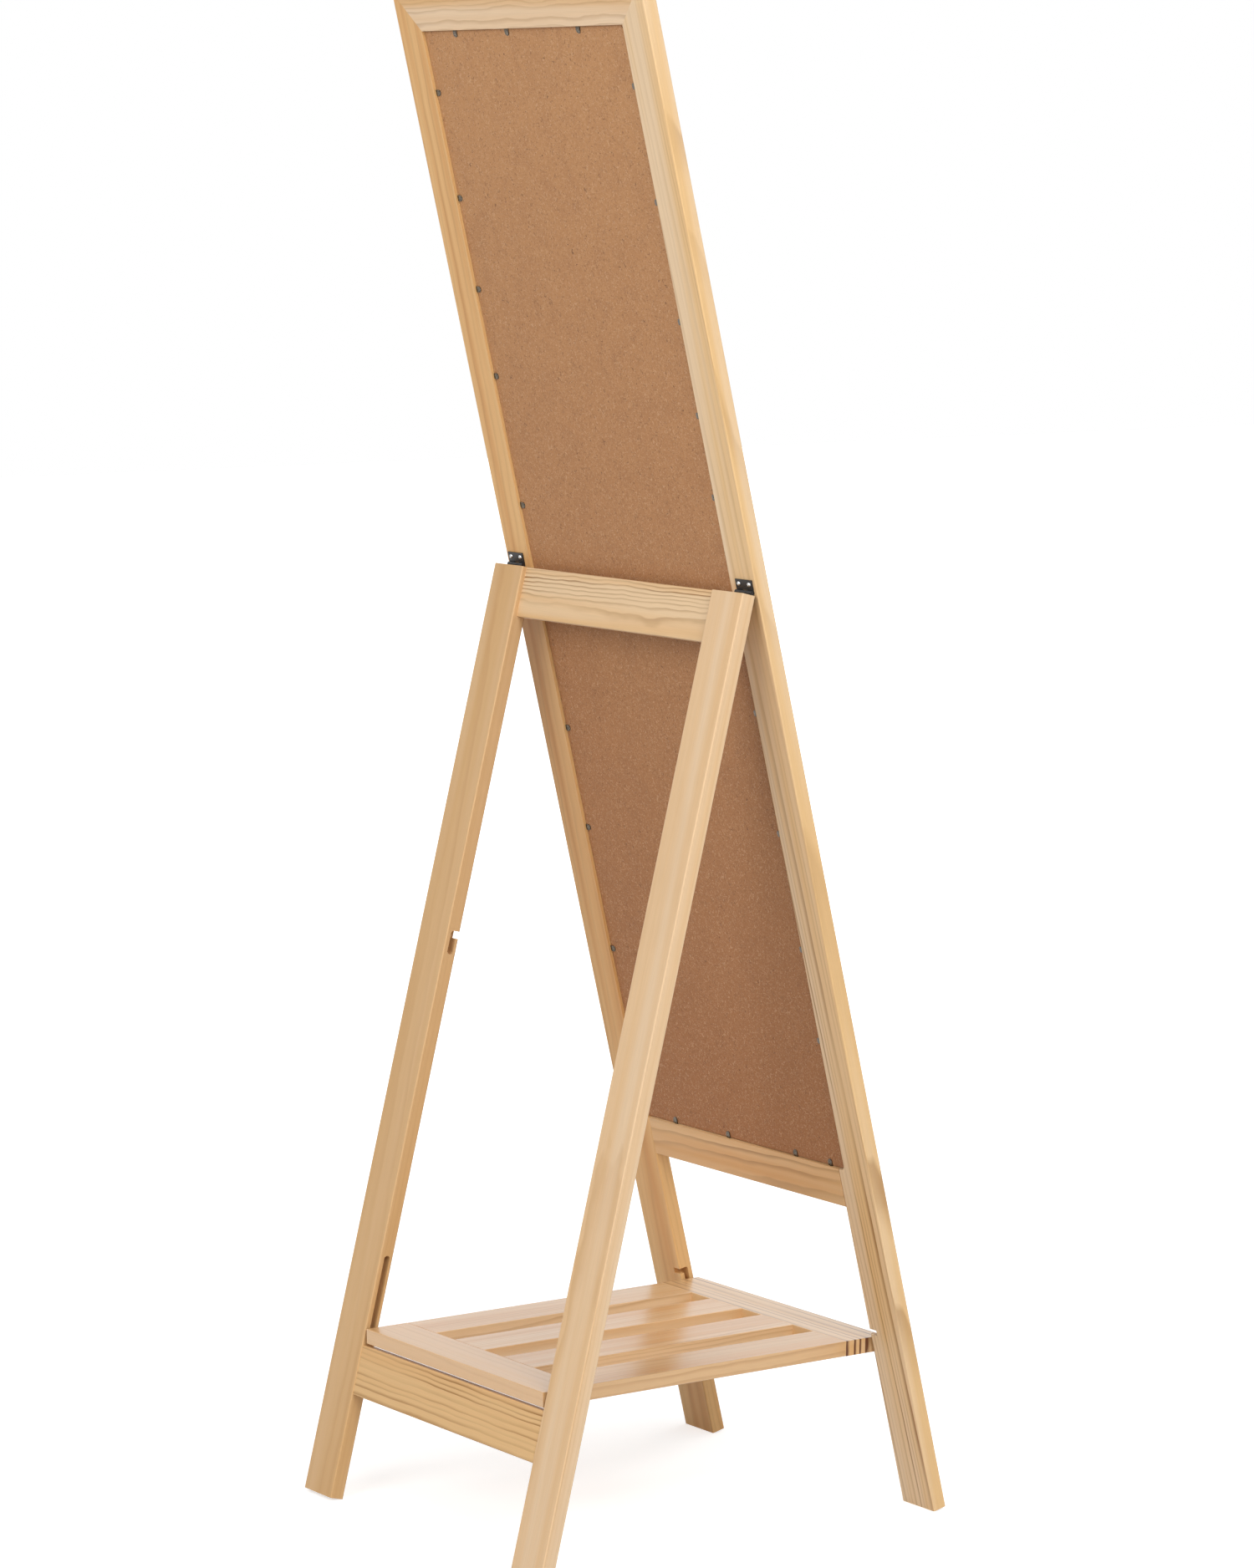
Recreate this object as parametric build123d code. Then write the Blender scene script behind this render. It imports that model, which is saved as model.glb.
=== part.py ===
from build123d import *
from math import cos, radians, sin
import os

# Folding floor mirror with a slatted shelf. Millimetres.
# X runs across the width, the mirror faces -Y, Z is up, and the floor is Z = 0.
# The leaf and the rear frame are drawn flat: X across, Y out of the board (back is +Y),
# Z along the board from its foot. They are leaned into place at the end.

# Board stock
WIDTH = 420.0
STOCK = 50.0
THICK = 15.0
EASE = 1.5
INNER = WIDTH / 2 - STOCK

# Mirror leaf
LEAF_LEAN = 13.46
LEAF_LENGTH = 1520.0
BOTTOM_RAIL_FOOT = 313.0
BOTTOM_RAIL_TOP = BOTTOM_RAIL_FOOT + STOCK
TOP_RAIL_FOOT = LEAF_LENGTH - STOCK
REBATE_WIDTH = 10.0
REBATE_DEPTH = 9.0
REBATE_CORNER = 6.0
OPENING_X = INNER + REBATE_WIDTH
OPENING_FOOT = BOTTOM_RAIL_TOP - REBATE_WIDTH
OPENING_TOP = TOP_RAIL_FOOT + REBATE_WIDTH
GLASS_THICK = 3.0
GLASS_GAP = 1.0
BOARD_THICK = 3.0
BOARD_GAP = 0.8

# Retaining points pressed into the rebate walls over the back board
POINT_WIDTH = 5.0
POINT_THICK = 0.8
POINT_IN_WOOD = 4.0
POINT_ON_BOARD = 5.0
POINTS_RIGHT = (1418.9, 1314.3, 1223.0, 1135.0, 1003.0, 890.0, 771.0, 665.6, 535.4)
POINTS_LEFT = (1422.4, 1313.3, 1199.8, 1109.8, 1030.5, 920.0, 818.2, 697.4, 580.0, 486.4)
POINTS_TOP = (115.4, 26.0, -93.7)
POINTS_FOOT = (114.9, 23.9, -88.4, -145.0)

# Hinges between the stiles and the rear legs
HINGE_HEIGHT = 941.3
HINGE_PIN_R = 1.2
KNUCKLE_R = 2.2
KNUCKLE_GAP = 0.1
AXIS_OFF = KNUCKLE_R + KNUCKLE_GAP
AXIS_OVER_LEG = KNUCKLE_R + KNUCKLE_GAP
HINGE_LENGTH = 26.0
HINGE_MIDDLE = 192.7
PLATE_THICK = 1.2
PLATE_REACH = 12.0
PLATE_CLEAR = 0.2
WEB_LAP = 0.2
LEG_AXIS_IN = AXIS_OFF - PLATE_THICK - KNUCKLE_GAP
RUNNING = 0.05
KNUCKLE_PLAY = 0.3
PIN_END = 0.3
SCREW_R = 1.5
SCREW_LENGTH = 11.0
SCREW_HEAD_R = 2.4
SCREW_HEAD_DEEP = 0.9
SCREW_SLOT = 0.6
SCREW_SPREAD = 8.0
SCREW_FROM_AXIS = 8.0

# Rear frame
REAR_LEAN = 14.2
REAR_TOP_RAIL_THICK = 10.0
LOWER_RAIL_FOOT = 104.3
LOWER_RAIL_THICK = 14.0

# Shelf
SHELF_MIDDLE = 162.2
SHELF_THICK = 15.0
SHELF_WIDTH = 312.0
SHELF_BOARD_WIDTH = 47.5
SHELF_EASE = 0.8
SLAT_COUNT = 4
SLAT_WIDTH = 53.0
PIN_TO_FRONT_END = 10.0
PIN_TO_REAR_END = 8.0
FRONT_PIN_R = 2.5
REAR_PIN_R = 3.0
PIN_IN_BOARD = 15.0
FRONT_PIN_TIP = INNER - 0.8
REAR_PIN_TIP = INNER + 10.0

# Hooks, grooves and storage notches cut into the inner faces
CUT_DEPTH = 11.0
HOOK_MIDDLE = -7.0
HOOK_WIDTH = 5.6
HOOK_MOUTH_FOOT = 179.2
HOOK_MOUTH_TOP = 184.8
GROOVE_MIDDLE = 6.6
GROOVE_WIDTH = 6.5
GROOVE_TRAVEL = 76.0
NOTCH_MIDDLE = 6.8
NOTCH_WIDTH = 6.8
NOTCH_MOUTH_FOOT = 565.9
NOTCH_MOUTH_TOP = 573.3
NOTCH_SEAT = 553.0
NOTCH_CORNER = 3.0

# Hidden dowels
DOWEL_R = 3.0
DOWEL_HALF = 12.0
DOWEL_FIT = 0.05
DOWEL_SPREAD = 24.0
DOWEL_END_ROOM = 0.5
RAIL_DOWEL_OFF = -10.5

LEAF_LEAN_R = radians(LEAF_LEAN)
REAR_LEAN_R = radians(REAR_LEAN)


def on_leaf(off, along):
    """Y and Z, before centring, of a point on the leaf."""
    return (along * sin(LEAF_LEAN_R) + off * cos(LEAF_LEAN_R),
            along * cos(LEAF_LEAN_R) - off * sin(LEAF_LEAN_R))


# The rear legs hang from the hinge axis and end on the floor
AXIS_Y, AXIS_Z = on_leaf(AXIS_OFF, HINGE_HEIGHT)
AXIS_UP_LEG = (AXIS_Z - LEG_AXIS_IN * sin(REAR_LEAN_R)) / cos(REAR_LEAN_R)
LEG_LENGTH = AXIS_UP_LEG - AXIS_OVER_LEG
REAR_FOOT_Y = AXIS_Y + AXIS_UP_LEG * sin(REAR_LEAN_R) - LEG_AXIS_IN * cos(REAR_LEAN_R)
FOOTPRINT_FRONT = -THICK * cos(LEAF_LEAN_R)
FOOTPRINT_BACK = REAR_FOOT_Y + THICK * cos(REAR_LEAN_R)
CENTRE_Y = (FOOTPRINT_FRONT + FOOTPRINT_BACK) / 2
LEAF = Location((0, -CENTRE_Y, 0), (-LEAF_LEAN, 0, 0))
REAR = Location((0, REAR_FOOT_Y - CENTRE_Y, 0), (REAR_LEAN, 0, 0))

# Where the shelf's two pin lines lie
REAR_PIN_ALONG = (SHELF_MIDDLE - GROOVE_MIDDLE * sin(REAR_LEAN_R)) / cos(REAR_LEAN_R)
REAR_PIN_Y = (REAR_FOOT_Y - REAR_PIN_ALONG * sin(REAR_LEAN_R)
              + GROOVE_MIDDLE * cos(REAR_LEAN_R) - CENTRE_Y)
FRONT_PIN_ALONG = (SHELF_MIDDLE + HOOK_MIDDLE * sin(LEAF_LEAN_R)) / cos(LEAF_LEAN_R)
FRONT_PIN_Y = on_leaf(HOOK_MIDDLE, FRONT_PIN_ALONG)[0] - CENTRE_Y
SHELF_FRONT = FRONT_PIN_Y - PIN_TO_FRONT_END
SHELF_BACK = REAR_PIN_Y + PIN_TO_REAR_END
REAR_TOP_RAIL_FOOT = LEG_LENGTH - STOCK
SIDES = (("left", -1), ("right", 1))


def block(x, y, z):
    """A box from three (low, high) pairs."""
    size = [high - low for low, high in (x, y, z)]
    middle = [(high + low) / 2 for low, high in (x, y, z)]
    return Pos(*middle) * Box(*size)


def span_x(side, near, far):
    """The low and high X of a stretch on one side of the middle."""
    return tuple(sorted((side * near, side * far)))


def upright(x, y, z):
    """A board along Z with its four long edges eased."""
    section = RectangleRounded(x[1] - x[0], y[1] - y[0], EASE)
    bar = extrude(section, z[1] - z[0])
    return Pos((x[0] + x[1]) / 2, (y[0] + y[1]) / 2, z[0]) * bar


def crosswise(x, y, z, ease=EASE):
    """A board along X with its four long edges eased."""
    section = Plane.YZ * RectangleRounded(y[1] - y[0], z[1] - z[0], ease)
    bar = extrude(section, x[1] - x[0])
    return Pos(x[0], (y[0] + y[1]) / 2, (z[0] + z[1]) / 2) * bar


def rod(centre, direction, radius, length):
    """A round rod, centred on a point."""
    return Plane(origin=centre, z_dir=direction) * Cylinder(radius, length)


def save(name, shape):
    """Write one node from a shape or a list of shapes."""
    shapes = shape if isinstance(shape, list) else [shape]
    solids = [solid for item in shapes for solid in item.solids()]
    export_step(solids[0] if len(solids) == 1 else Compound(solids), f"parts/{name}.step")
    print(name, len(solids), "solids", round(sum(s.volume for s in solids) / 1000, 2), "cm3")


# Dowels. Each place is a point and a direction.
def butt_dowels(rail_foot, off):
    """Two dowels through each end of a rail that butts against the uprights."""
    middle = rail_foot + STOCK / 2
    return [((side * INNER, off, middle + up), (1, 0, 0))
            for _, side in SIDES for up in (-DOWEL_SPREAD / 2, DOWEL_SPREAD / 2)]


def mitre_dowels():
    """One dowel square across each mitre."""
    middle_x = INNER + STOCK / 2
    middle_z = TOP_RAIL_FOOT + STOCK / 2
    return [((side * middle_x, -THICK / 2, middle_z), (side, 0, -1)) for _, side in SIDES]


def slat_x(index):
    """The middle of one slat."""
    pitch = (SHELF_WIDTH - SLAT_WIDTH) / (SLAT_COUNT - 1)
    return -SHELF_WIDTH / 2 + SLAT_WIDTH / 2 + index * pitch


def slat_dowels():
    """Two dowels at each end of each slat."""
    return [((slat_x(index) + across, end, SHELF_MIDDLE), (0, 1, 0))
            for index in range(SLAT_COUNT)
            for end in (SHELF_FRONT + SHELF_BOARD_WIDTH, SHELF_BACK - SHELF_BOARD_WIDTH)
            for across in (-DOWEL_SPREAD / 2, DOWEL_SPREAD / 2)]


def dowel_solids(places):
    return [rod(centre, direction, DOWEL_R, 2 * DOWEL_HALF) for centre, direction in places]


def dowel_holes(places):
    return [rod(centre, direction, DOWEL_R + DOWEL_FIT, 2 * (DOWEL_HALF + DOWEL_END_ROOM))
            for centre, direction in places]


def cut(shape, tools):
    """Take away only the tools that reach the shape."""
    box = shape.bounding_box()
    near = [tool for tool in tools if tool.bounding_box().min.X < box.max.X
            and tool.bounding_box().max.X > box.min.X
            and tool.bounding_box().min.Z < box.max.Z
            and tool.bounding_box().max.Z > box.min.Z]
    for tool in near:
        shape = shape - tool
    return shape


# Retaining points
def point_boxes():
    """Flat steel points, half in the rebate wall and half over the board."""
    low = -REBATE_DEPTH + GLASS_THICK + BOARD_THICK
    off = (low, low + POINT_THICK)
    half = POINT_WIDTH / 2
    boxes = []
    for side, heights in ((1, POINTS_RIGHT), (-1, POINTS_LEFT)):
        across = span_x(side, OPENING_X - POINT_ON_BOARD, OPENING_X + POINT_IN_WOOD)
        boxes += [block(across, off, (height - half, height + half)) for height in heights]
    up = (OPENING_TOP - POINT_ON_BOARD, OPENING_TOP + POINT_IN_WOOD)
    down = (OPENING_FOOT - POINT_IN_WOOD, OPENING_FOOT + POINT_ON_BOARD)
    boxes += [block((x - half, x + half), off, up) for x in POINTS_TOP]
    boxes += [block((x - half, x + half), off, down) for x in POINTS_FOOT]
    return boxes


# Screws. Each place is the head's flat face and the way it faces.
def screw(centre, direction):
    """A countersunk wood screw whose slotted head lies flush with the plate."""
    shank = Pos(0, 0, -SCREW_LENGTH / 2) * Cylinder(SCREW_R, SCREW_LENGTH)
    head = Pos(0, 0, -SCREW_HEAD_DEEP / 2) * Cone(SCREW_R, SCREW_HEAD_R, SCREW_HEAD_DEEP)
    slot = Box(SCREW_SLOT, 3 * SCREW_HEAD_R, SCREW_HEAD_DEEP)
    return Plane(origin=centre, z_dir=direction) * (shank + head - slot)


def screw_hole(centre, direction):
    """The hole and countersink for a screw, in plate and wood."""
    length = SCREW_LENGTH + DOWEL_END_ROOM
    hole = Pos(0, 0, -length / 2) * Cylinder(SCREW_R + DOWEL_FIT, length)
    sink = Pos(0, 0, -SCREW_HEAD_DEEP / 2) * Cone(SCREW_R + DOWEL_FIT, SCREW_HEAD_R + DOWEL_FIT,
                                                  SCREW_HEAD_DEEP)
    return Plane(origin=centre, z_dir=direction) * (hole + sink)


def screw_row(side, off, along, facing):
    """Two screws side by side on a hinge plate."""
    return [((side * HINGE_MIDDLE + across, off, along), facing)
            for across in (-SCREW_SPREAD, SCREW_SPREAD)]


def leaf_screws(side):
    """Screws in the plate on the stile's back face."""
    return screw_row(side, PLATE_THICK, HINGE_HEIGHT + SCREW_FROM_AXIS, (0, 1, 0))


def leg_screws(side):
    """Screws in the plate on the leg's front face."""
    return screw_row(side, -PLATE_THICK, AXIS_UP_LEG - SCREW_FROM_AXIS, (0, -1, 0))


# Hinge leaves. The stile's leaf has the two outer knuckles and the leg's leaf the middle one.
KNUCKLE = HINGE_LENGTH / 3


def hinge_leaf(side, places, axis, plate_off, way):
    """A plate rolled into knuckles. Way is +1 where the plate runs up from the axis, else -1."""
    axis_off, axis_up = axis
    x = span_x(side, HINGE_MIDDLE - HINGE_LENGTH / 2, HINGE_MIDDLE + HINGE_LENGTH / 2)
    plate_start = axis_up + way * (KNUCKLE_R + PLATE_CLEAR)
    leaf = block(x, plate_off, sorted((plate_start, axis_up + way * PLATE_REACH)))
    for place in places:
        middle = side * HINGE_MIDDLE + place * KNUCKLE
        half = (KNUCKLE - KNUCKLE_PLAY) / 2
        barrel = rod((middle, axis_off, axis_up), (1, 0, 0), KNUCKLE_R, 2 * half)
        web = block((middle - half, middle + half), plate_off,
                    sorted((axis_up, plate_start + way * WEB_LAP)))
        leaf = leaf + barrel + web
    return leaf - rod((side * HINGE_MIDDLE, axis_off, axis_up), (1, 0, 0),
                      HINGE_PIN_R + RUNNING, 2 * HINGE_LENGTH)


def stile_leaf(side):
    """Plate on the stile's back face."""
    leaf = hinge_leaf(side, (-1, 1), (AXIS_OFF, HINGE_HEIGHT), (KNUCKLE_GAP, PLATE_THICK), 1)
    return cut(leaf, [screw_hole(*place) for place in leaf_screws(side)])


def leg_leaf(side):
    """Plate on the leg's front face."""
    leaf = hinge_leaf(side, (0,), (LEG_AXIS_IN, AXIS_UP_LEG), (-PLATE_THICK, 0), -1)
    return cut(leaf, [screw_hole(*place) for place in leg_screws(side)])


# Cuts in the inner faces
def slot_cut(side, middle, width, low, high):
    """A slot along the board, round at both ends, cut into the inner face."""
    x = span_x(side, INNER - 1, INNER + CUT_DEPTH)
    half = width / 2
    body = block(x, (middle - half, middle + half), (low, high))
    length = x[1] - x[0]
    for end in (low, high):
        body = body + rod(((x[0] + x[1]) / 2, middle, end), (1, 0, 0), half, length)
    return body


def hook_cut(side):
    """In at the back face, then down behind a tongue to the pin's seat."""
    x = span_x(side, INNER - 1, INNER + CUT_DEPTH)
    slot = slot_cut(side, HOOK_MIDDLE, HOOK_WIDTH, FRONT_PIN_ALONG,
                    HOOK_MOUTH_TOP - HOOK_WIDTH / 2)
    mouth = block(x, (HOOK_MIDDLE, 1), (HOOK_MOUTH_FOOT, HOOK_MOUTH_TOP))
    return slot + mouth


def notch_cut(side):
    """In at the leg's front edge, then down to a round seat for the stored shelf."""
    x = span_x(side, INNER - 1, INNER + CUT_DEPTH)
    half = NOTCH_WIDTH / 2
    slot = block(x, (NOTCH_MIDDLE - half, NOTCH_MIDDLE + half), (NOTCH_SEAT, NOTCH_MOUTH_TOP))
    seat = rod(((x[0] + x[1]) / 2, NOTCH_MIDDLE, NOTCH_SEAT), (1, 0, 0), half, x[1] - x[0])
    mouth = block(x, (-1, NOTCH_MIDDLE), (NOTCH_MOUTH_FOOT, NOTCH_MOUTH_TOP))
    body = slot + seat + mouth
    top_edges = body.edges().filter_by(Axis.X).group_by(Axis.Z)[-1]
    return fillet(top_edges.sort_by(Axis.Y)[-1], NOTCH_CORNER)


def rebate():
    """The step round the opening that holds glass and board."""
    x = (-OPENING_X, OPENING_X)
    body = block(x, (-REBATE_DEPTH, 1), (OPENING_FOOT, OPENING_TOP))
    return fillet(body.edges().filter_by(Axis.Y).group_by(Axis.Z)[0], REBATE_CORNER)


# Mirror leaf
REBATE = rebate()
POINT_CUTS = point_boxes()
LEAF_DOWELS = butt_dowels(BOTTOM_RAIL_FOOT, RAIL_DOWEL_OFF) + mitre_dowels()


def mitre_half(side):
    """Everything on the stile's side of a mitre."""
    corner = LEAF_LENGTH + 1
    outline = Plane.XZ * Polyline((side * (INNER - 1), -1), (side * (INNER - 1), TOP_RAIL_FOOT - 1),
                                  (side * (WIDTH / 2 + 1), corner),
                                  (side * (WIDTH / 2 + 1), -1), close=True)
    return Pos(0, THICK, 0) * extrude(make_face(outline), 3 * THICK, both=True)


def stile(side):
    x = span_x(side, INNER, WIDTH / 2)
    body = upright(x, (-THICK, 0), (0, LEAF_LENGTH))
    body = body & mitre_half(side)
    body = body - REBATE - hook_cut(side)
    tools = dowel_holes(LEAF_DOWELS) + POINT_CUTS
    return cut(body, tools + [screw_hole(*place) for place in leaf_screws(side)])


def top_rail():
    body = crosswise((-WIDTH / 2, WIDTH / 2), (-THICK, 0), (TOP_RAIL_FOOT, LEAF_LENGTH))
    for _, side in SIDES:
        body = body - mitre_half(side)
    return cut(body - REBATE, dowel_holes(LEAF_DOWELS) + POINT_CUTS)


def bottom_rail():
    body = crosswise((-INNER, INNER), (-THICK, 0), (BOTTOM_RAIL_FOOT, BOTTOM_RAIL_TOP))
    return cut(body - REBATE, dowel_holes(LEAF_DOWELS) + POINT_CUTS)


def panel(gap, low, thick):
    """A sheet in the rebate with its two lower corners rounded to suit."""
    edge = OPENING_X - gap
    body = block((-edge, edge), (low, low + thick), (OPENING_FOOT + gap, OPENING_TOP - gap))
    return fillet(body.edges().filter_by(Axis.Y).group_by(Axis.Z)[0], REBATE_CORNER)


# Rear frame
REAR_DOWELS = (butt_dowels(REAR_TOP_RAIL_FOOT, REAR_TOP_RAIL_THICK / 2)
               + butt_dowels(LOWER_RAIL_FOOT, LOWER_RAIL_THICK / 2))


def rear_leg(side):
    body = upright(span_x(side, INNER, WIDTH / 2), (0, THICK), (0, LEG_LENGTH))
    groove = slot_cut(side, GROOVE_MIDDLE, GROOVE_WIDTH, REAR_PIN_ALONG,
                      REAR_PIN_ALONG + GROOVE_TRAVEL)
    tools = dowel_holes(REAR_DOWELS) + [screw_hole(*place) for place in leg_screws(side)]
    return cut(body - groove - notch_cut(side), tools)


def rear_rail(foot, thick):
    body = crosswise((-INNER, INNER), (0, thick), (foot, foot + STOCK))
    return cut(body, dowel_holes(REAR_DOWELS))


# Shelf
SHELF_Z = (SHELF_MIDDLE - SHELF_THICK / 2, SHELF_MIDDLE + SHELF_THICK / 2)
HALF_SHELF = SHELF_WIDTH / 2
SLAT_DOWELS = slat_dowels()


def shelf_pin(side, y, radius, tip):
    x = span_x(side, HALF_SHELF - PIN_IN_BOARD, tip)
    return rod(((x[0] + x[1]) / 2, y, SHELF_MIDDLE), (1, 0, 0), radius, x[1] - x[0])


def shelf_board(low, pin_y, pin_r):
    """A cross board at one end of the shelf, bored for its pins and dowels."""
    body = crosswise((-HALF_SHELF, HALF_SHELF), (low, low + SHELF_BOARD_WIDTH), SHELF_Z, SHELF_EASE)
    for _, side in SIDES:
        bore = span_x(side, HALF_SHELF - PIN_IN_BOARD - DOWEL_END_ROOM, HALF_SHELF + 1)
        body = body - rod(((bore[0] + bore[1]) / 2, pin_y, SHELF_MIDDLE), (1, 0, 0),
                          pin_r + RUNNING, bore[1] - bore[0])
    for tool in dowel_holes(SLAT_DOWELS):
        body = body - tool
    return body


def slat(index):
    """One slat, bored for its dowels."""
    middle = slat_x(index)
    section = Plane.XZ * RectangleRounded(SLAT_WIDTH, SHELF_THICK, SHELF_EASE)
    length = SHELF_BACK - SHELF_FRONT - 2 * SHELF_BOARD_WIDTH
    body = Pos(middle, SHELF_BACK - SHELF_BOARD_WIDTH, SHELF_MIDDLE) * extrude(section, length)
    for place in SLAT_DOWELS:
        if abs(place[0][0] - middle) < SLAT_WIDTH / 2:
            body = body - dowel_holes([place])[0]
    return body


# Write the nodes
os.makedirs("parts", exist_ok=True)
for side_name, side in SIDES:
    save(f"stile_{side_name}", LEAF * stile(side))
    save(f"stile_hinge_leaf_{side_name}", LEAF * stile_leaf(side))
    save(f"hinge_pin_{side_name}", LEAF * rod((side * HINGE_MIDDLE, AXIS_OFF, HINGE_HEIGHT),
                                             (1, 0, 0), HINGE_PIN_R, HINGE_LENGTH + 2 * PIN_END))
    save(f"rear_leg_{side_name}", REAR * rear_leg(side))
    save(f"leg_hinge_leaf_{side_name}", REAR * leg_leaf(side))
    save(f"shelf_rear_pin_{side_name}", shelf_pin(side, REAR_PIN_Y, REAR_PIN_R, REAR_PIN_TIP))
    save(f"shelf_front_pin_{side_name}", shelf_pin(side, FRONT_PIN_Y, FRONT_PIN_R, FRONT_PIN_TIP))
save("mirror_top_rail", LEAF * top_rail())
save("mirror_bottom_rail", LEAF * bottom_rail())
save("mirror_glass", LEAF * panel(GLASS_GAP, -REBATE_DEPTH, GLASS_THICK))
save("back_board", LEAF * panel(BOARD_GAP, -REBATE_DEPTH + GLASS_THICK, BOARD_THICK))
save("board_points", [LEAF * box for box in POINT_CUTS])
save("leaf_dowels", [LEAF * dowel for dowel in dowel_solids(LEAF_DOWELS)])
save("rear_top_rail", REAR * rear_rail(REAR_TOP_RAIL_FOOT, REAR_TOP_RAIL_THICK))
save("rear_lower_rail", REAR * rear_rail(LOWER_RAIL_FOOT, LOWER_RAIL_THICK))
save("rear_dowels", [REAR * dowel for dowel in dowel_solids(REAR_DOWELS)])
save("stile_hinge_screws", [LEAF * screw(*place) for _, side in SIDES for place in leaf_screws(side)])
save("leg_hinge_screws", [REAR * screw(*place) for _, side in SIDES for place in leg_screws(side)])
save("shelf_front_board", shelf_board(SHELF_FRONT, FRONT_PIN_Y, FRONT_PIN_R))
save("shelf_rear_board", shelf_board(SHELF_BACK - SHELF_BOARD_WIDTH, REAR_PIN_Y, REAR_PIN_R))
for index in range(SLAT_COUNT):
    save(f"shelf_slat_{index + 1}", slat(index))
save("slat_dowels", dowel_solids(SLAT_DOWELS))

# Positions of the hinge axis and the pins
print("hinge axis y z", round(AXIS_Y - CENTRE_Y, 3), round(AXIS_Z, 3))
print("rear pins y z", round(REAR_PIN_Y, 3), SHELF_MIDDLE, "front pins y", round(FRONT_PIN_Y, 3))
print("leg length", round(LEG_LENGTH, 2), "rear foot y", round(REAR_FOOT_Y - CENTRE_Y, 3))
print("centre y", round(CENTRE_Y, 3))
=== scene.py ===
from math import cos, pi, radians, sin

import bmesh
import bpy
from mathutils import Matrix, Vector


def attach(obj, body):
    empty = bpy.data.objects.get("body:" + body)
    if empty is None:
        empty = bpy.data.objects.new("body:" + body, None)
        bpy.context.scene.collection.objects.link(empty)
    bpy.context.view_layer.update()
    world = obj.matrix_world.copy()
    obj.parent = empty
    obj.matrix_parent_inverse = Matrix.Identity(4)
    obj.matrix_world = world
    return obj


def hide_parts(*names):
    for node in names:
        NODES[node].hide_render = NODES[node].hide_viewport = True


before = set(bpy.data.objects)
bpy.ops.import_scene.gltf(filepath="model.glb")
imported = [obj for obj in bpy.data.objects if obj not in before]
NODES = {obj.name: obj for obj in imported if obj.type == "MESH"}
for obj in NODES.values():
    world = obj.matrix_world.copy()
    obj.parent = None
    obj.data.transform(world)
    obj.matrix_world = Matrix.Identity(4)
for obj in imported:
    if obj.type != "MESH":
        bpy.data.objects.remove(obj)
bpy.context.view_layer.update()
MM = 0.001

# The part's own sizes, in millimetres, as in the CAD source
LEAF_LEAN = radians(13.46)
REAR_LEAN = radians(14.2)
CENTRE_Y = 225.885      # the stiles' back faces meet the floor this far in front of the origin
REAR_FOOT_Y = 225.931   # and the rear legs' front faces this far behind it
OPENING_X = 170.0       # from the middle to the rebate's side walls
PLATE_THICK = 1.2       # the hinges' plates

# From the mirror frame's flat frame (X across, Y out of its back, Z along it) to the row frame
LEAF = Matrix.Translation((0, -CENTRE_Y * MM, 0)) @ Matrix.Rotation(-LEAF_LEAN, 4, "X")


def linear(code):
    """A linear colour from an sRGB hex value."""
    parts = [int(code[i:i + 2], 16) / 255 for i in (1, 3, 5)]
    parts = [p / 12.92 if p <= 0.04045 else ((p + 0.055) / 1.055) ** 2.4 for p in parts]
    return (*parts, 1.0)


def add(tree, kind, settings=None, links=None):
    """Add a node, set its attributes or input values, and link sockets to its inputs."""
    node = tree.nodes.new(kind)
    for key, value in (settings or {}).items():
        if isinstance(key, str) and hasattr(node, key):
            setattr(node, key, value)
        else:
            node.inputs[key].default_value = value
    for key, socket in (links or {}).items():
        tree.links.new(socket, node.inputs[key])
    return node


def new_material(name):
    """An empty material with its shader and output joined."""
    material = bpy.data.materials.new(name)
    material.use_nodes = True
    tree = material.node_tree
    tree.nodes.clear()
    shader = add(tree, "ShaderNodeBsdfPrincipled")
    add(tree, "ShaderNodeOutputMaterial", None, {"Surface": shader.outputs[0]})
    return material, tree, shader


def seen_directly(tree):
    """A socket that is one for rays from the camera, reflections and clear pieces."""
    path = add(tree, "ShaderNodeLightPath")
    seen = add(tree, "ShaderNodeMath", {"operation": "MAXIMUM"},
               {0: path.outputs["Is Camera Ray"], 1: path.outputs["Is Glossy Ray"]})
    seen = add(tree, "ShaderNodeMath", {"operation": "MAXIMUM"},
               {0: seen.outputs[0], 1: path.outputs["Is Transmission Ray"]})
    return seen.outputs[0]


def dress(node_name, material):
    """Give a CAD node its material."""
    mesh = NODES[node_name].data
    mesh.materials.clear()
    mesh.materials.append(material)


# How the boards lie: the location and rotation that bring a point of the row frame back to the
# flat frame of its own boards, in millimetres
LEAF_BOARDS = ((0, CENTRE_Y * cos(LEAF_LEAN), CENTRE_Y * sin(LEAF_LEAN)), (LEAF_LEAN, 0, 0))
REAR_BOARDS = ((0, -REAR_FOOT_Y * cos(REAR_LEAN), REAR_FOOT_Y * sin(REAR_LEAN)), (-REAR_LEAN, 0, 0))
SHELF_BOARDS = ((0, 0, 0), (0, 0, 0))


# Pine's noises: their patches in millimetres across and along the board, their detail, and how far
# a board's seed shifts them
PINE_NOISES = (("wander", 60, 330, 1.0, 1.0), ("ripple", 24, 62, 2.0, 3.0),
               ("stretch", 26, 210, 1.0, 5.0), ("band", 17, 700, 1.0, 7.0),
               ("fibre", 0.5, 34, 3.0, 9.0))
RING_SWING = 5          # millimetres that a full waver or ripple moves a ring
CROWD_PATCH = 17        # millimetres over which rings crowd and spread
CROWD_SWING = 9.0
LATE_START = 0.45       # the late wood's share of a ring runs from here to there
LATE_END = 0.93
FAINTEST_YEAR = 0.35
FAINTEST_STRETCH = 0.3
FIBRE_HEIGHT = 0.2 * MM


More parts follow.
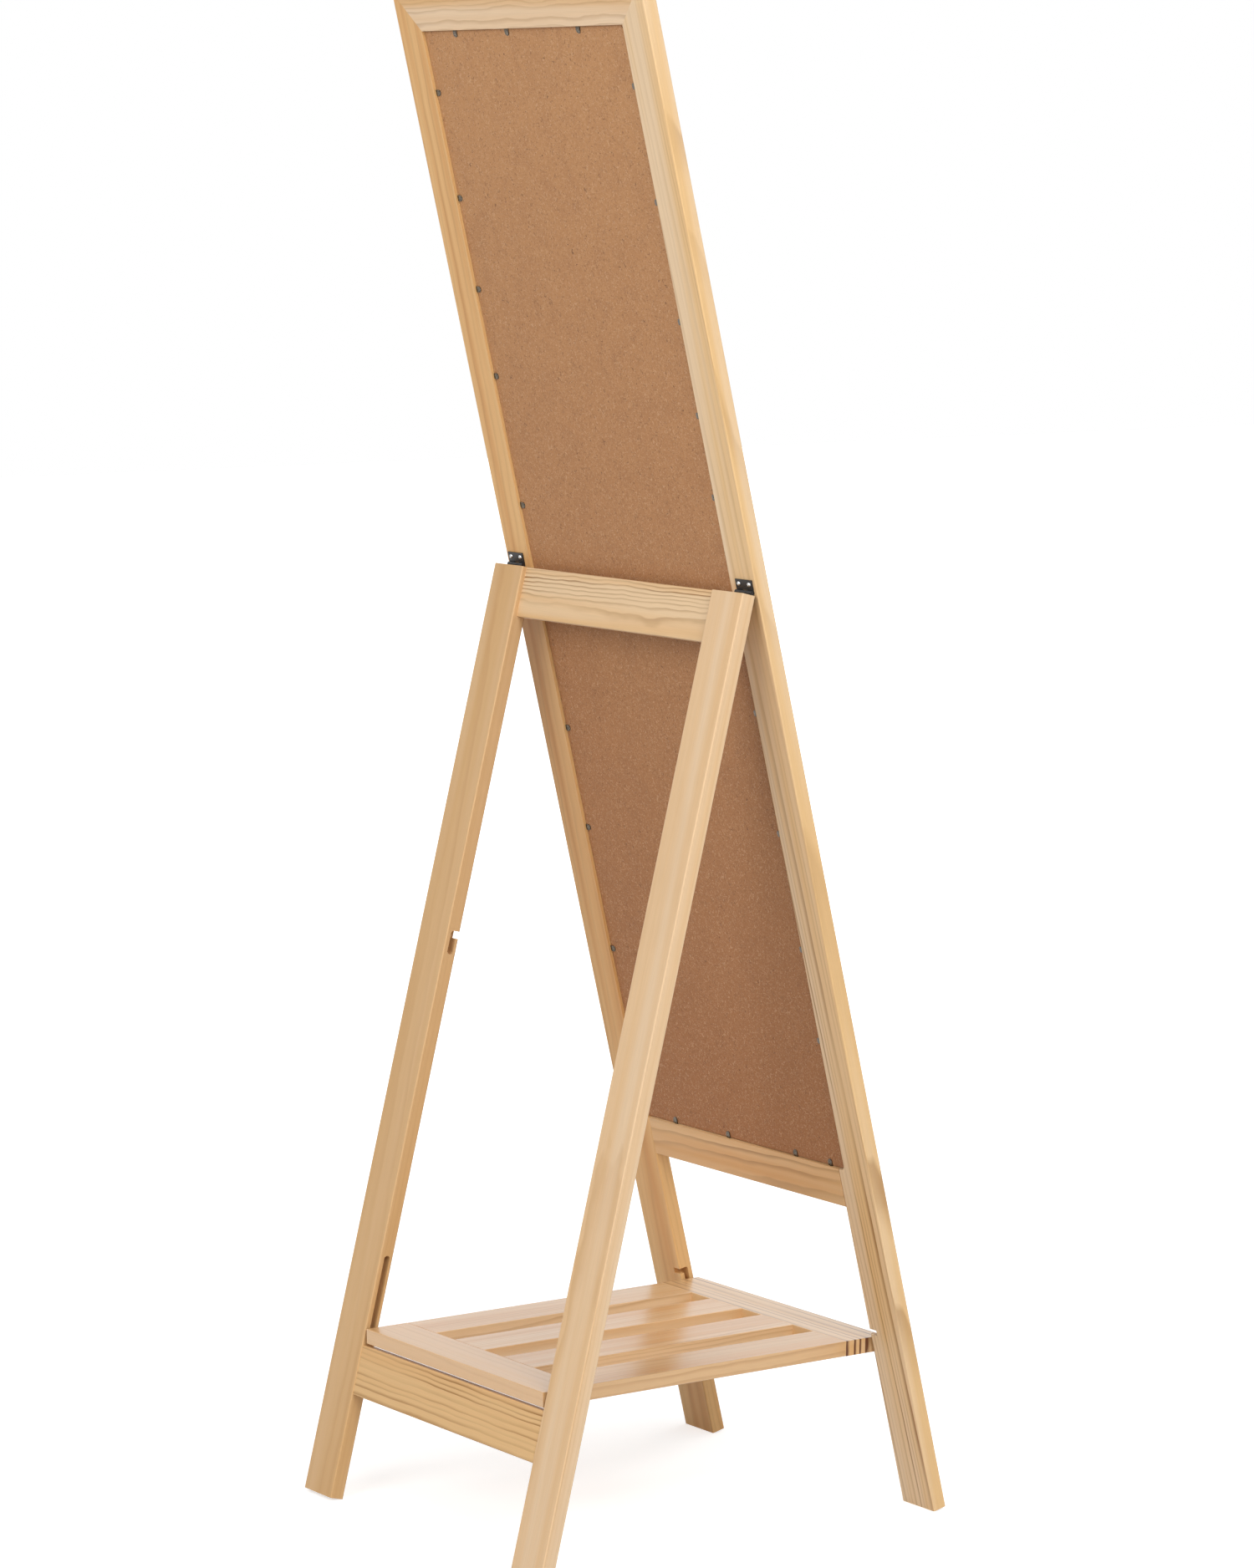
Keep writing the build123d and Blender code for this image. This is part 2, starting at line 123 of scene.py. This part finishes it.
# Pine, planed and lacquered. The pale early wood carries the colour, thin honey lines of late wood
# give the grain, broad warm bands keep a board from looking flat, and the lacquer adds a soft sheen
# that turns to a pale mirror at grazing angles.
def pine(node_name, boards, along, heart, ring_mm, taper=0.01, waver=1.5, ripple=0.6, seed=0.0,
         early="#E3C6A4", late="#B88A55", warm="#D5A871", depth=0.5, fade=(0, 1, 1, 1), coat=0.06):
    """Dress a board in pine cut so that the tree's heart lies at a place across and out of it.

    The fade gives two places along the board and the lines' strength at each.
    """
    material, tree, shader = new_material("pine_" + node_name)
    place = add(tree, "ShaderNodeTexCoord")
    turned = add(tree, "ShaderNodeMapping", {"Location": boards[0], "Rotation": boards[1],
                                             "Scale": (1 / MM,) * 3}, {0: place.outputs["Object"]})
    split = add(tree, "ShaderNodeSeparateXYZ", None, {0: turned.outputs[0]})
    x, y, z = split.outputs
    order = {"x": (z, y, x), "y": (x, z, y), "z": (x, y, z)}[along]
    board = add(tree, "ShaderNodeCombineXYZ", None, dict(enumerate(order)))

    noise = {}
    for use, across, length, detail, shift in PINE_NOISES:
        spread = add(tree, "ShaderNodeMapping", {"Location": (seed * shift, seed, seed * 2),
                                                 "Scale": (1 / across, 1 / across, 1 / length)},
                     {0: board.outputs[0]})
        noise[use] = add(tree, "ShaderNodeTexNoise", {"Scale": 1.0, "Detail": detail},
                         {0: spread.outputs[0]}).outputs["Fac"]

    # Distance from the heart of the tree, drifting along the board
    offset = add(tree, "ShaderNodeVectorMath", {"operation": "SUBTRACT", 1: (*heart, 0)},
                 {0: board.outputs[0]})
    flat = add(tree, "ShaderNodeVectorMath", {"operation": "MULTIPLY", 1: (1, 1, 0)},
               {0: offset.outputs[0]})
    radius = add(tree, "ShaderNodeVectorMath", {"operation": "LENGTH"}, {0: flat.outputs[0]})
    distance = add(tree, "ShaderNodeMath", {"operation": "MULTIPLY_ADD", 1: taper},
                   {0: order[2], 2: radius.outputs["Value"]})
    for amount, use in ((waver, "wander"), (ripple, "ripple")):
        distance = add(tree, "ShaderNodeMath", {"operation": "MULTIPLY_ADD", 1: amount * RING_SWING},
                       {0: noise[use], 2: distance.outputs[0]})
    crowd = add(tree, "ShaderNodeTexNoise",
                {"noise_dimensions": "1D", "Scale": 1 / CROWD_PATCH, "Detail": 0.0},
                {"W": distance.outputs[0]})
    distance = add(tree, "ShaderNodeMath", {"operation": "MULTIPLY_ADD", 1: CROWD_SWING},
                   {0: crowd.outputs[0], 2: distance.outputs[0]})
    rings = add(tree, "ShaderNodeMath", {"operation": "DIVIDE", 1: ring_mm},
                {0: distance.outputs[0]})
    ring = add(tree, "ShaderNodeMath", {"operation": "FRACT"}, {0: rings.outputs[0]})
    year = add(tree, "ShaderNodeMath", {"operation": "FLOOR"}, {0: rings.outputs[0]})
    mood = add(tree, "ShaderNodeTexWhiteNoise", {"noise_dimensions": "1D"}, {"W": year.outputs[0]})

    # The late wood darkens slowly and stops at once; some years and stretches are fainter
    line = add(tree, "ShaderNodeMapRange",
               {"interpolation_type": "SMOOTHSTEP", "From Min": LATE_START, "From Max": LATE_END},
               {0: ring.outputs[0]})
    for low, high, first, last, value in (
            (LATE_END, 1.0, 1.0, 0.0, ring.outputs[0]),
            (0.0, 1.0, FAINTEST_YEAR, 1.0, mood.outputs[0]),
            (0.35, 0.65, FAINTEST_STRETCH, 1.0, noise["stretch"]),
            (fade[0], fade[1], fade[2] * depth, fade[3] * depth, order[2])):
        share = add(tree, "ShaderNodeMapRange",
                    {"From Min": low, "From Max": high, "To Min": first, "To Max": last}, {0: value})
        line = add(tree, "ShaderNodeMath", {"operation": "MULTIPLY"},
                   {0: line.outputs[0], 1: share.outputs[0]})

    # Broad warm bands under the lines, then fibres half a millimetre across
    band = add(tree, "ShaderNodeMapRange", {"From Min": 0.40, "From Max": 0.68, "To Max": 0.9},
               {0: noise["band"]})
    ground = add(tree, "ShaderNodeMix", {"data_type": "RGBA", 6: linear(early), 7: linear(warm)},
                 {0: band.outputs[0]})
    wood = add(tree, "ShaderNodeMix", {"data_type": "RGBA", 7: linear(late)},
               {0: line.outputs[0], 6: ground.outputs[2]})
    tone = add(tree, "ShaderNodeMapRange",
               {"From Min": 0.3, "From Max": 0.7, "To Min": 0.95, "To Max": 1.03},
               {0: noise["fibre"]})
    colour = add(tree, "ShaderNodeVectorMath", {"operation": "SCALE"},
                 {0: wood.outputs[2], 3: tone.outputs[0]})
    tree.links.new(colour.outputs[0], shader.inputs["Base Color"])
    rough = add(tree, "ShaderNodeMapRange", {"To Min": 0.42, "To Max": 0.56}, {0: noise["fibre"]})
    tree.links.new(rough.outputs[0], shader.inputs["Roughness"])
    bump = add(tree, "ShaderNodeBump", {"Strength": 0.1, "Distance": FIBRE_HEIGHT},
               {"Height": noise["fibre"]})
    tree.links.new(bump.outputs[0], shader.inputs["Normal"])
    shader.inputs["Specular IOR Level"].default_value = 0.35
    shader.inputs["Coat Weight"].default_value = coat
    shader.inputs["Coat Roughness"].default_value = 0.24
    dress(node_name, material)


# Hardboard's layers, from cloudy patches to bark: the noise's scale per millimetre and detail, the
# range of it that shows, and the layer's colour and strength
FELT_LAYERS = ((0.020, 2.0, 0.45, 0.70, "#8F5F3D", 0.20), (0.42, 3.0, 0.52, 0.68, "#D6B18A", 0.45),
               (0.34, 3.0, 0.54, 0.70, "#7A5136", 0.55), (0.34, 1.0, 0.72, 0.78, "#4A2E1C", 0.6))
BOARD_SHADED_BELOW = 350   # millimetres up the mirror frame between which the board's painted shade lifts
BOARD_LIT_ABOVE = 1500


# Hardboard, felted and pressed. Pale and dark fibres a few millimetres long give it its suede-like
# speckle, and small dark flecks of bark are scattered through it.
def hardboard():
    """Dress the back board, with painted shade that darkens it towards its foot."""
    material, tree, shader = new_material("hardboard_brown")
    place = add(tree, "ShaderNodeTexCoord")
    turned = add(tree, "ShaderNodeMapping", {"Location": LEAF_BOARDS[0], "Rotation": LEAF_BOARDS[1],
                                             "Scale": (1 / MM,) * 3}, {0: place.outputs["Object"]})
    split = add(tree, "ShaderNodeSeparateXYZ", None, {0: turned.outputs[0]})
    # Painted shade: the base colour darkens from the board's upper part down to its foot, standing
    # in for the light falling off lower down
    colour = add(tree, "ShaderNodeMix", {"data_type": "RGBA", 6: linear("#9C6840"),
                                         7: linear("#B78557")})
    painted_shade_ramp = add(tree, "ShaderNodeMapRange",
                 {"From Min": BOARD_SHADED_BELOW, "From Max": BOARD_LIT_ABOVE}, {0: split.outputs[2]})
    tree.links.new(painted_shade_ramp.outputs[0], colour.inputs[0])
    for scale, detail, low, high, code, share in FELT_LAYERS:
        felt = add(tree, "ShaderNodeTexNoise",
                   {"Scale": scale, "Detail": detail, "Distortion": 1.6}, {0: turned.outputs[0]})
        much = add(tree, "ShaderNodeMapRange", {"From Min": low, "From Max": high, "To Max": share},
                   {0: felt.outputs["Fac"]})
        colour = add(tree, "ShaderNodeMix", {"data_type": "RGBA", 7: linear(code)},
                     {0: much.outputs[0], 6: colour.outputs[2]})
    tree.links.new(colour.outputs[2], shader.inputs["Base Color"])
    shader.inputs["Roughness"].default_value = 0.72
    bump = add(tree, "ShaderNodeBump", {"Strength": 0.2, "Distance": FIBRE_HEIGHT},
               {"Height": felt.outputs["Fac"]})
    tree.links.new(bump.outputs[0], shader.inputs["Normal"])
    dress("back_board", material)


# Silvered float glass: a clean reflection with the faint green of thick glass
def mirror_silver():
    """Dress the mirror's glass."""
    material, tree, shader = new_material("mirror_silvered_glass")
    place = add(tree, "ShaderNodeTexCoord")
    haze = add(tree, "ShaderNodeTexNoise", {"Scale": 9.0, "Detail": 2.0},
               {0: place.outputs["Object"]})
    rough = add(tree, "ShaderNodeMapRange", {"To Min": 0.015, "To Max": 0.035},
                {0: haze.outputs["Fac"]})
    tree.links.new(rough.outputs[0], shader.inputs["Roughness"])
    shader.inputs["Base Color"].default_value = linear("#E6EEEA")
    shader.inputs["Metallic"].default_value = 1.0
    dress("mirror_glass", material)


# Metals: a grain in colour and roughness keeps them from looking like plastic. Black lacquer hides
# the hinges' steel, zinc gives the screws their cold shine, and the springy points carry painted
# shade: their steel is darkened to a brown.
def metal(name, dark, light, rough_low, rough_high, grain_mm, metallic):
    """A metal or lacquer whose grain is this many millimetres wide."""
    material, tree, shader = new_material(name)
    place = add(tree, "ShaderNodeTexCoord")
    grain = add(tree, "ShaderNodeTexNoise", {"Scale": 1 / (grain_mm * MM), "Detail": 3.0},
                {0: place.outputs["Object"]})
    share = add(tree, "ShaderNodeMapRange", {"From Min": 0.3, "From Max": 0.7},
                {0: grain.outputs["Fac"]})
    colour = add(tree, "ShaderNodeMix", {"data_type": "RGBA", 6: linear(dark), 7: linear(light)},
                 {0: share.outputs[0]})
    tree.links.new(colour.outputs[2], shader.inputs["Base Color"])
    rough = add(tree, "ShaderNodeMapRange", {"To Min": rough_low, "To Max": rough_high},
                {0: share.outputs[0]})
    tree.links.new(rough.outputs[0], shader.inputs["Roughness"])
    shader.inputs["Metallic"].default_value = metallic
    return material


BLACK_STEEL = metal("steel_black_lacquered", "#101011", "#1C1C1E", 0.35, 0.5, 1.2, 0.0)
ZINC = metal("steel_zinc_plated", "#B9BABB", "#DCDCDA", 0.22, 0.38, 0.8, 1.0)
PIN_STEEL = metal("steel_turned_pin", "#9C9B98", "#C9C8C4", 0.25, 0.4, 0.8, 1.0)
# Painted shade: the retaining points' steel is darkened to a brown for the shadow they lie in beside
# the rebate's walls
SHADED_POINT_STEEL = metal("steel_spring_point_painted_shade", "#37312A", "#7E7467", 0.25, 0.4, 1.0, 1.0)

hardboard()
mirror_silver()

# Each board: its frame and direction, the heart's place, the rings' width, the taper of the tree,
# and how much the rings wander and ripple

# Mirror leaf. The near stile's lines show best towards its foot.
pine("stile_left", LEAF_BOARDS, "z", (210, 30), 6.5, 0.03, 1.0, 0.35, seed=1.7, depth=1.15,
     early="#E2C5A0", warm="#DDB57E", late="#96662F", fade=(420, 850, 1.0, 0.3))
pine("stile_right", LEAF_BOARDS, "z", (120, 150), 4.4, 0.012, seed=4.1, early="#DDB076",
     warm="#CB9254", late="#A9733A", depth=0.5)
pine("mirror_top_rail", LEAF_BOARDS, "x", (1300, -40), 8.0, 0.004, 1.5, 2.4, seed=7.3,
     late="#94652F", depth=1.2)
pine("mirror_bottom_rail", LEAF_BOARDS, "x", (300, -110), 5.0, 0.01, 1.2, 0.5, seed=2.9,
     early="#E0BA8A", warm="#D09C62", late="#93632F", depth=0.8)

# Rear frame. The top rail's lines are thin and many, those of the lower rail broad and few.
pine("rear_leg_left", REAR_BOARDS, "z", (-190, 330), 5.2, 0.008, seed=5.5, early="#DDBF9B",
     warm="#D8B284", depth=0.35)
pine("rear_leg_right", REAR_BOARDS, "z", (215, 150), 6.0, 0.008, seed=5.9, early="#C9A06D",
     warm="#D0AB7E", depth=0.45)
pine("rear_top_rail", REAR_BOARDS, "x", (893, 62), 2.9, 0.003, 0.7, 0.9, seed=3.3,
     early="#DEC099", late="#8C5F2C", depth=1.7)
pine("rear_lower_rail", REAR_BOARDS, "x", (230, 60), 6.2, 0.006, 1.2, 0.7, seed=6.6,
     early="#D8B07B", late="#99692F", depth=1.2)

# Shelf. It is glossier than the frames, and its front board shows dark rings on its near end.
pine("shelf_front_board", SHELF_BOARDS, "x", (150, -560), 8.5, 0.004, 0.4, 0.3, seed=9.1,
     early="#DBB587", late="#5E3219", depth=1.2, fade=(-156, -152.5, 2.6, 1.0), coat=1.0)
pine("shelf_rear_board", SHELF_BOARDS, "x", (230, 120), 5.0, 0.006, seed=0.6, depth=0.45,
     early="#D6AD7E", coat=1.0)
for number, heart_x, seed, early in ((1, -95, 1.2, "#D2AA79"), (2, -75, 2.4, "#DAB385"),
                                     (3, 85, 3.6, "#DDB78A"), (4, 165, 4.8, "#DDB78A")):
    pine(f"shelf_slat_{number}", SHELF_BOARDS, "y", (heart_x, 130), 4.6, 0.01, seed=seed,
         early=early, warm="#CF9A5E", depth=0.8, coat=1.0)
for group in ("leaf_dowels", "rear_dowels", "slat_dowels"):
    pine(group, SHELF_BOARDS, "x", (40, 40), 1.5, seed=2.2, early="#DCC096", warm="#CFAE80")

for side_name in ("left", "right"):
    dress("stile_hinge_leaf_" + side_name, BLACK_STEEL)
    dress("leg_hinge_leaf_" + side_name, BLACK_STEEL)
    dress("hinge_pin_" + side_name, BLACK_STEEL)
    dress("shelf_rear_pin_" + side_name, PIN_STEEL)
    dress("shelf_front_pin_" + side_name, PIN_STEEL)
dress("leg_hinge_screws", ZINC)


WELD = 1e-6   # metres


def centres(node_name):
    """The middle of each separate solid of a CAD node, in the row frame."""
    mesh = bmesh.new()
    mesh.from_mesh(NODES[node_name].data)
    bmesh.ops.remove_doubles(mesh, verts=mesh.verts, dist=WELD)
    left = set(mesh.verts)
    found = []
    while left:
        queue = [left.pop()]
        island = []
        while queue:
            vert = queue.pop()
            island.append(vert.co.copy())
            for edge in vert.link_edges:
                other = edge.other_vert(vert)
                if other in left:
                    left.remove(other)
                    queue.append(other)
        low = Vector(map(min, zip(*island)))
        high = Vector(map(max, zip(*island)))
        found.append((low + high) / 2)
    mesh.free()
    return found


SMOOTH_UNDER = radians(35)


def show(name, mesh, material, body, stands_for):
    """Put a finished bmesh in the scene on a body, in place of its CAD node."""
    bmesh.ops.recalc_face_normals(mesh, faces=mesh.faces)
    data = bpy.data.meshes.new(name)
    mesh.to_mesh(data)
    mesh.free()
    data.materials.append(material)
    piece = bpy.data.objects.new(name, data)
    bpy.context.scene.collection.objects.link(piece)
    for face in data.polygons:
        face.use_smooth = True
    data.set_sharp_from_angle(angle=SMOOTH_UNDER)
    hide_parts(stands_for)
    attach(piece, body)


# Retaining points: springy steel strips, round at the tip, that arch from the wood to the board
POINT_IN_WOOD = 4.5     # millimetres
POINT_LENGTH = 11.5
POINT_WIDTH = 6.0
POINT_THICK = 0.6
POINT_ARCH = 2.2
POINT_FREE = 0.39       # the shares of a point's length at which it leaves the wood
POINT_TIP = 0.72        # and at which its tip starts to round
TIP_ROUNDING = 2.4
TIP_BLUNT = 0.02        # what is left of its width at the very end
MID_HEIGHT = 1.0        # metres; points on rails above this hold the board's top edge
points = bmesh.new()
for centre in centres("board_points"):
    flat_place = LEAF.inverted() @ centre
    on_side = abs(flat_place.x) > OPENING_X * MM * 0.9
    upper = flat_place.z > MID_HEIGHT
    turn = (0 if flat_place.x > 0 else pi) if on_side else (-pi / 2 if upper else pi / 2)
    strip = bmesh.ops.create_grid(points, x_segments=12, y_segments=6, size=0.5)["verts"]
    for vert in strip:
        reach, side = 0.5 - vert.co.x, vert.co.y
        tip = max(0.0, reach - POINT_TIP) / (1 - POINT_TIP)
        narrowed = (1 - tip ** TIP_ROUNDING) ** 0.5 * (1 - TIP_BLUNT) + TIP_BLUNT
        free = max(0.0, reach - POINT_FREE) / (1 - POINT_FREE)
        lift = POINT_ARCH * free ** 0.5 * (1 - free)
        out = POINT_IN_WOOD - reach * POINT_LENGTH
        vert.co = Vector((out, side * POINT_WIDTH * narrowed, lift)) * MM
    faces = list({face for vert in strip for face in vert.link_faces})
    solid = bmesh.ops.solidify(points, geom=faces, thickness=POINT_THICK * MM)
    verts = list({vert for face in faces for vert in face.verts}
                 | {item for item in solid["geom"] if isinstance(item, bmesh.types.BMVert)})
    stand = Matrix.Translation(centre) @ LEAF.to_3x3().to_4x4()
    lay = Matrix.Rotation(-pi / 2, 4, "X") @ Matrix.Rotation(turn, 4, "Z")
    bmesh.ops.transform(points, matrix=stand @ lay, verts=verts)
show("board_points_bent", points, SHADED_POINT_STEEL, "mirror_leaf", "board_points")

# Hinge screws on the stiles: round heads with a small round recess, turned about their own axis
# from radii and heights over the plate in millimetres
SCREW_PROFILE = ((0.0, 0.55), (0.55, 0.6), (0.75, 1.2), (1.2, 1.15), (1.9, 0.75), (2.35, 0.2),
                 (2.4, 0.0), (1.5, -0.02), (1.5, -8.0), (0.4, -9.8), (0.0, -9.9))
SCREW_SIDES = 28
screws = bmesh.new()
for centre in centres("stile_hinge_screws"):
    flat_place = LEAF.inverted() @ centre
    seat = LEAF @ Vector((flat_place.x, PLATE_THICK * MM, flat_place.z))
    chain = [screws.verts.new((r * MM, 0, h * MM)) for r, h in SCREW_PROFILE]
    edges = [screws.edges.new(pair) for pair in zip(chain, chain[1:])]
    before = set(screws.verts) - set(chain)
    bmesh.ops.spin(screws, geom=chain + edges, cent=(0, 0, 0), axis=(0, 0, 1), angle=2 * pi,
                   steps=SCREW_SIDES, use_merge=True)
    turned = [vert for vert in screws.verts if vert not in before]
    bmesh.ops.remove_doubles(screws, verts=turned, dist=WELD)
    turned = [vert for vert in screws.verts if vert not in before]
    stand = Matrix.Translation(seat) @ LEAF.to_3x3().to_4x4() @ Matrix.Rotation(-pi / 2, 4, "X")
    bmesh.ops.transform(screws, matrix=stand, verts=turned)
show("stile_hinge_screw_heads", screws, ZINC, "mirror_leaf", "stile_hinge_screws")

# Floor: a pale sheet that keeps the object's shadow and fades to white with distance
FLOOR_HALF = 14.0
FLOOR_GLOW = 0.62   # within a metre of the object, against one from 4.5 metres on
floor_mesh = bpy.data.meshes.new("floor")
floor_bm = bmesh.new()
bmesh.ops.create_grid(floor_bm, x_segments=1, y_segments=1, size=FLOOR_HALF)
floor_bm.to_mesh(floor_mesh)
floor_bm.free()
floor = bpy.data.objects.new("floor", floor_mesh)
bpy.context.scene.collection.objects.link(floor)
floor_material, floor_tree, floor_shader = new_material("floor_matt_white")
floor_shader.inputs["Base Color"].default_value = linear("#D2D2D2")
floor_shader.inputs["Roughness"].default_value = 0.9
floor_place = add(floor_tree, "ShaderNodeTexCoord")
away = add(floor_tree, "ShaderNodeVectorMath", {"operation": "LENGTH"},
           {0: floor_place.outputs["Object"]})
whiter = add(floor_tree, "ShaderNodeMapRange",
             {"From Min": 1.0, "From Max": 4.5, "To Min": FLOOR_GLOW, "To Max": 1.0},
             {0: away.outputs["Value"]})
glow = add(floor_tree, "ShaderNodeMath", {"operation": "MULTIPLY"},
           {0: seen_directly(floor_tree), 1: whiter.outputs[0]})
floor_tree.links.new(glow.outputs[0], floor_shader.inputs["Emission Strength"])
floor_shader.inputs["Emission Color"].default_value = (1, 1, 1, 1)
floor_mesh.materials.append(floor_material)

# World: white where it is seen; as light, soft and dimmer towards the far side
NEAR_LIGHT = 0.62
FAR_LIGHT = 0.22
world = bpy.data.worlds.new("studio")
bpy.context.scene.world = world
world.use_nodes = True
world_tree = world.node_tree
world_tree.nodes.clear()
world_place = add(world_tree, "ShaderNodeTexCoord")
world_split = add(world_tree, "ShaderNodeSeparateXYZ", None, {0: world_place.outputs["Generated"]})
world_side = add(world_tree, "ShaderNodeMapRange",
                 {"From Min": -0.6, "From Max": 0.8, "To Min": NEAR_LIGHT, "To Max": FAR_LIGHT},
                 {0: world_split.outputs[0]})
world_light = add(world_tree, "ShaderNodeMix", {3: 1.0},
                  {0: seen_directly(world_tree), 2: world_side.outputs[0]})
background = add(world_tree, "ShaderNodeBackground", {"Color": (1, 1, 1, 1)},
                 {"Strength": world_light.outputs[0]})
add(world_tree, "ShaderNodeOutputWorld", None, {"Surface": background.outputs[0]})


def softbox(name, place, aim, size, power):
    """A square area lamp aimed at a point."""
    lamp = bpy.data.lights.new(name, "AREA")
    lamp.shape = "SQUARE"
    lamp.size = size
    lamp.energy = power
    holder = bpy.data.objects.new(name, lamp)
    holder.location = place
    holder.rotation_euler = (Vector(aim) - Vector(place)).to_track_quat("-Z", "Y").to_euler()
    bpy.context.scene.collection.objects.link(holder)


softbox("key_near_side", (-4.1, 1.0, 3.2), (0, 0, 1.0), 2.2, 116)
softbox("soft_behind", (-1.2, 4.1, 2.9), (0, 0, 1.2), 2.6, 94)
softbox("front_fill", (1.4, -3.6, 2.6), (0, 0, 0.7), 2.4, 45)

# Camera, fitted to the photograph
camera = bpy.data.cameras.new("camera")
camera.sensor_fit = "HORIZONTAL"
camera.sensor_width = 36.0
camera.lens = 144.9
camera.clip_end = 60.0
camera_holder = bpy.data.objects.new("camera", camera)
camera_holder.location = (-3.9938, 2.778, 1.3323)
camera_holder.rotation_euler = (radians(82.76), 0, radians(-124.87))
bpy.context.scene.collection.objects.link(camera_holder)
bpy.context.scene.camera = camera_holder
bpy.context.scene.view_settings.view_transform = "Standard"
